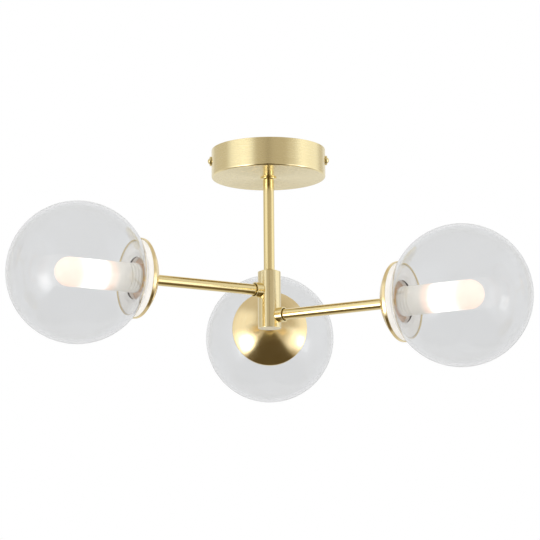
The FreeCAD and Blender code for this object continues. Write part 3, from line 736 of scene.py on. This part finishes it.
def makeSideScrews():
    # shank, flange and a low dome whose ball has radius (dome^2 + rise^2) / (2 rise)
    s, columns = sideScrew, sideScrew["columns"]
    rimFace = s["face"] + s["thickness"]
    ball = (s["dome"] ** 2 + s["rise"] ** 2) / (2 * s["rise"])
    centre = rimFace + s["rise"] - ball
    turn = np.degrees(np.arcsin(s["dome"] / ball))
    base = [(s["start"], 0), (s["start"], s["shank"]), (s["face"], s["shank"]),
            (s["face"], s["flange"]), (rimFace, s["flange"])]
    dome = arc((centre, 0), ball, turn, 0, s["domeRows"])
    profile, rim = softened(np.vstack([base, dome]), [*s["eased"]] + [0.0] * s["domeRows"], False)
    for side, name in ((-1, "left"), (1, "right")):
        piece = turnedPiece("sideScrew_" + name, profile, screwFrame(side), columns, False, rim)
        dress(piece, "polishedBrass", "polished_brass", "screw_" + name, "side_screw_" + name)


makeSideScrews()

# Arms and what they carry. An arm has its direction in degrees and its height, and distances along
# it are from the stem's axis.
arms = dict(left=(210.0, -126.0), back=(90.0, -137.0), right=(330.0, -148.0))
collar = dict(start=8.6, reach=15.0, radius=6.6, bore=5.55, eased=(0.1, 0.1, 0.3, 0.3), columns=96)
armTube = dict(root=10.25, end=115.0, rootSpigot=2.65, endSpigot=6.6)
dish = dict(seat=115.0, seatRadius=7.2, radius=34.45, depth=15.6, lip=2.8, wall=1.0, hole=4.1,
            holeEdge=0.1, seatEdge=0.3, footEdge=0.4, rimEdge=0.3, outerRows=30, innerRows=24,
            columns=240)
carrier = dict(back=116.0, backFace=7.1, web=1.6, neck=11.5, flangeBack=120.4, flangeFront=124.0,
               flange=18.9, shoulder=12.6, shoulderTop=129.0, thread=11.0, end=138.4, bore=9.05,
               hole=4.1, nutSpace=7.6, holderBack=121.6, edge=0.2, columns=96)
globe = dict(centre=185.0, radius=60.0, wall=2.0, mouth=18.4, edge=0.5, rows=120, columns=288)
seat = dict(front=129.6, thickness=1.2, outer=33.2, ball=60.05, inner=19.0, skirt=21.0, foot=121.2,
            footEdge=0.2, edge=0.3, rows=16, columns=192)
sleeve = dict(start=130.0, tip=205.0, radius=12.5, bore=11.08, endWall=1.5, beadWidth=1.0, bead=0.5,
              ridges=3, pitch=3.0, ridgeWidth=0.8, ridge=0.4, edge=0.15, innerRows=20, outerRows=24,
              bumpRows=9, columns=128)


def ballAlong(centre, radius, off):
    return centre - sqrt(radius ** 2 - off ** 2)


def dishProfile():
    # ball through the seat's edge and the lip's foot, then the straight lip; the inner wall follows
    lipFoot = dish["seat"] + dish["depth"] - dish["lip"]
    rimEnd = dish["seat"] + dish["depth"]
    centre = lipFoot ** 2 - dish["seat"] ** 2 + dish["radius"] ** 2 - dish["seatRadius"] ** 2
    centre = centre / (2 * (lipFoot - dish["seat"]))
    ball = sqrt((centre - dish["seat"]) ** 2 + dish["seatRadius"] ** 2)
    wall = dish["wall"]
    inner, innerRadius, innerSeat = ball - wall, dish["radius"] - wall, dish["seat"] + wall
    innerEnd = sqrt(inner ** 2 - (centre - innerSeat) ** 2)
    outerOff = np.linspace(dish["seatRadius"], dish["radius"], dish["outerRows"])
    innerOff = np.linspace(innerRadius, innerEnd, dish["innerRows"])
    outerWall = np.stack([centre - np.sqrt(ball ** 2 - outerOff ** 2), outerOff], 1)
    innerWall = np.stack([centre - np.sqrt(inner ** 2 - innerOff ** 2), innerOff], 1)
    corners = np.vstack([[(dish["seat"], dish["hole"])], outerWall, [(rimEnd, dish["radius"]),
                         (rimEnd, innerRadius)], innerWall, [(innerSeat, dish["hole"])]])
    eased = [dish["holeEdge"], dish["seatEdge"]] + [0.0] * (dish["outerRows"] - 2)
    eased += [dish["footEdge"]] + [dish["rimEdge"]] * 2 + [0.0] * dish["innerRows"]
    eased += [dish["holeEdge"]]
    return softened(corners, eased, True)


def globeProfile():
    # both walls are arcs of balls, joined at the mouth by a fire-polished edge
    g = globe
    inner = g["radius"] - g["wall"]
    innerTurn = np.degrees(np.arcsin(g["mouth"] / inner))
    outerTurn = np.degrees(np.arcsin(g["mouth"] / g["radius"]))
    insideWall = arc((g["centre"], 0), inner, 0, 180 - innerTurn, g["rows"])
    outsideWall = arc((g["centre"], 0), g["radius"], 180 - outerTurn, 0, g["rows"])
    eased = [0.0] * (g["rows"] - 1) + [g["edge"]] * 2 + [0.0] * (g["rows"] - 1)
    return softened(np.vstack([insideWall, outsideWall]), eased, False)


def sleeveProfile():
    # bore, base edge, bead, low rings, plain wall and round tip
    s = sleeve
    centre = s["tip"] - s["radius"]
    inner = s["radius"] - s["endWall"]
    insideEnd = arc((centre, 0), inner, 0, 90, s["innerRows"])
    outsideEnd = arc((centre, 0), s["radius"], 90, 0, s["outerRows"])
    across = np.linspace(-1, 1, s["bumpRows"])
    bump = np.sin(np.linspace(0, pi, s["bumpRows"]))
    middle = s["start"] + s["beadWidth"]
    run = [np.stack([middle + s["beadWidth"] * across, s["radius"] + s["bead"] * bump], 1)]
    for ridge in range(1, s["ridges"] + 1):
        at = middle + ridge * s["pitch"]
        run.append(np.stack([at + s["ridgeWidth"] * across, s["radius"] + s["ridge"] * bump], 1))
    run = np.vstack(run)
    bore = [(centre - s["radius"], s["bore"]), (s["start"], s["bore"])]
    profile = np.vstack([insideEnd, bore, run, outsideEnd])
    eased = [0.0] * (s["innerRows"] + 1) + [s["edge"]] + [0.0] * (len(run) + s["outerRows"])
    return softened(profile, eased, False)


def makeArm(arm):
    place = armFrame(*arms[arm])
    c = collar
    corners = [(c["start"], c["bore"]), (c["start"], c["radius"]), (c["reach"], c["radius"]),
               (c["reach"], c["bore"])]
    profile, rim = softened(corners, c["eased"], True)
    piece = turnedPiece("armCollar_" + arm, profile, place, c["columns"], True, rim)
    dress(piece, "polishedBrass", "polished_brass", "fitting", "arm_collar_" + arm)
    t = armTube
    line = threadedTube(t["root"], t["end"], t["rootSpigot"], t["endSpigot"])
    profile, rim = softened(line, stem["edge"], True)
    piece = turnedPiece("armTube_" + arm, profile, place, stem["columns"], True, rim)
    dress(piece, "polishedBrass", "polished_brass", "fitting", "arm_tube_" + arm)
    profile, rim = dishProfile()
    piece = turnedPiece("spunDish_" + arm, profile, place, dish["columns"], True, rim)
    dress(piece, "spunBrass", "spun_brass", "fitting", "cap_dish_" + arm)
    k = carrier
    webTop = k["back"] + k["web"]
    corners = [(k["back"], k["hole"]), (k["back"], k["backFace"]), (webTop, k["neck"]),
               (k["flangeBack"], k["neck"]), (k["flangeBack"], k["flange"]),
               (k["flangeFront"], k["flange"]), (k["flangeFront"], k["shoulder"]),
               (k["shoulderTop"], k["shoulder"]), (k["shoulderTop"], k["thread"]),
               (k["end"], k["thread"]), (k["end"], k["bore"]), (k["holderBack"], k["bore"]),
               (k["holderBack"], k["nutSpace"]), (webTop, k["nutSpace"]), (webTop, k["hole"])]
    profile, rim = softened(corners, k["edge"], True)
    piece = turnedPiece("lampCarrier_" + arm, profile, place, k["columns"], True, rim)
    dress(piece, "carrierBrass", "carrier_brass", "fitting", "lamp_carrier_" + arm)


def makeShade(arm):
    place = armFrame(*arms[arm])
    profile, rim = globeProfile()
    piece = turnedPiece("globe_" + arm, profile, place, globe["columns"], False, rim)
    dress(piece, "clearGlass", "clear_glass", "globe_" + arm, "globe_glass_" + arm)
    s = seat
    meets = sqrt(s["ball"] ** 2 - (globe["centre"] - s["front"]) ** 2)
    off = np.linspace(meets, s["inner"], s["rows"])
    dished = np.stack([globe["centre"] - np.sqrt(s["ball"] ** 2 - off ** 2), off], 1)
    back = s["front"] - s["thickness"]
    under = ballAlong(globe["centre"], s["ball"], s["skirt"]) - s["thickness"]
    corners = np.vstack([[(s["foot"], s["inner"]), (s["foot"], s["skirt"]), (under, s["skirt"]),
                          (back, meets), (back, s["outer"]), (s["front"], s["outer"])], dished])
    eased = [s["footEdge"]] * 2 + [s["edge"]] * 5 + [0.0] * (s["rows"] - 1)
    profile, rim = softened(corners, eased, True)
    piece = turnedPiece("globeSeat_" + arm, profile, place, s["columns"], True, rim)
    dress(piece, "seatWhite", "seat_white", "globe_" + arm, "globe_seat_" + arm)
    profile, rim = sleeveProfile()
    piece = turnedPiece("frostedSleeve_" + arm, profile, place, sleeve["columns"], False, rim)
    dress(piece, "frostedGlass", "frosted_glass", "sleeve_" + arm, "frosted_sleeve_" + arm)


for arm in arms:
    makeArm(arm)
    makeShade(arm)
print("arms, dishes, globes and sleeves made")

# pieces kept from the frame
kept = dict(
    ceiling_bracket="zincSteel", earth_screw="nutBrass", earth_washer="zincSteel",
    block_screw="zincSteel", terminal_block="terminalPlastic", stem_washer="zincSteel",
    stem_nut="nutBrass")
for arm in arms:
    kept["lead_" + arm] = "leadSheath"
    kept["arm_end_nut_" + arm] = "nutBrass"
    kept["lampholder_" + arm] = "lampholderCeramic"
    kept["sleeve_gasket_" + arm] = "gasketRubber"
    kept["lamp_" + arm] = "lampGlass"
for name, finish in kept.items():
    nodes[name].data.materials.clear()
    nodes[name].data.materials.append(finishes[finish])
print("kept pieces finished,", len(kept))
